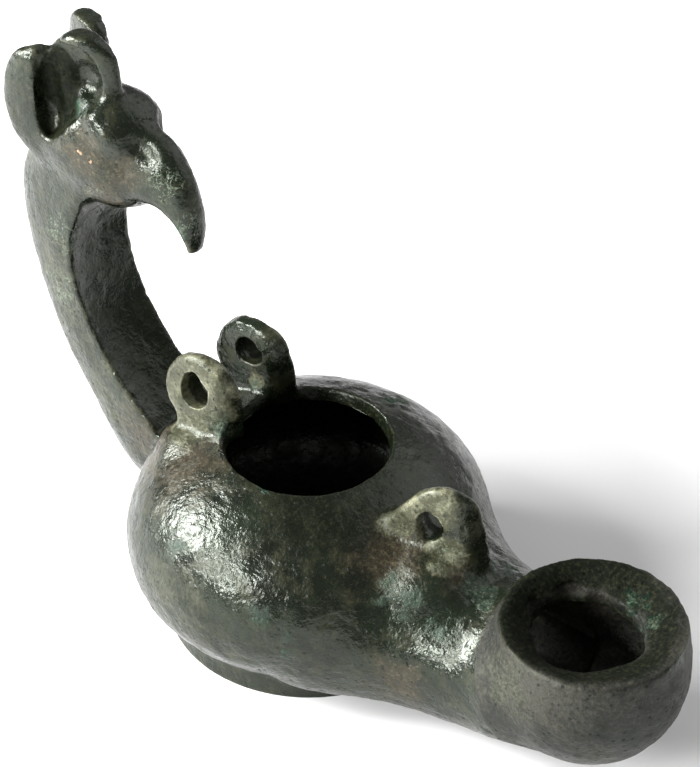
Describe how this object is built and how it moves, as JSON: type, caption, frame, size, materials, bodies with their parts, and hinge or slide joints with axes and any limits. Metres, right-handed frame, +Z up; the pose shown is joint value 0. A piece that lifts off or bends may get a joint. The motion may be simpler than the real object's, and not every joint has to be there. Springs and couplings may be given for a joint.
{
  "type": "oil lamp",
  "caption": "Hollow cast bronze oil lamp with a squat round bowl on a ring foot, a dished nozzle, three hanging lugs and a strap handle ending in a griffin's head.",
  "frame": {"origin": "centre of the bowl on the plane its foot stands on", "axes": "+X from the bowl towards the nozzle, +Z up; the handle rises on the -X side"},
  "size_m": [0.1423, 0.0654, 0.1022],
  "materials": {
    "patinated_bronze": "dark green-black patina, part worn to a dull gloss, with olive, brown and green patches"
  },
  "bodies": {
    "root": {"lamp": "patinated_bronze"}
  },
  "joints": []
}
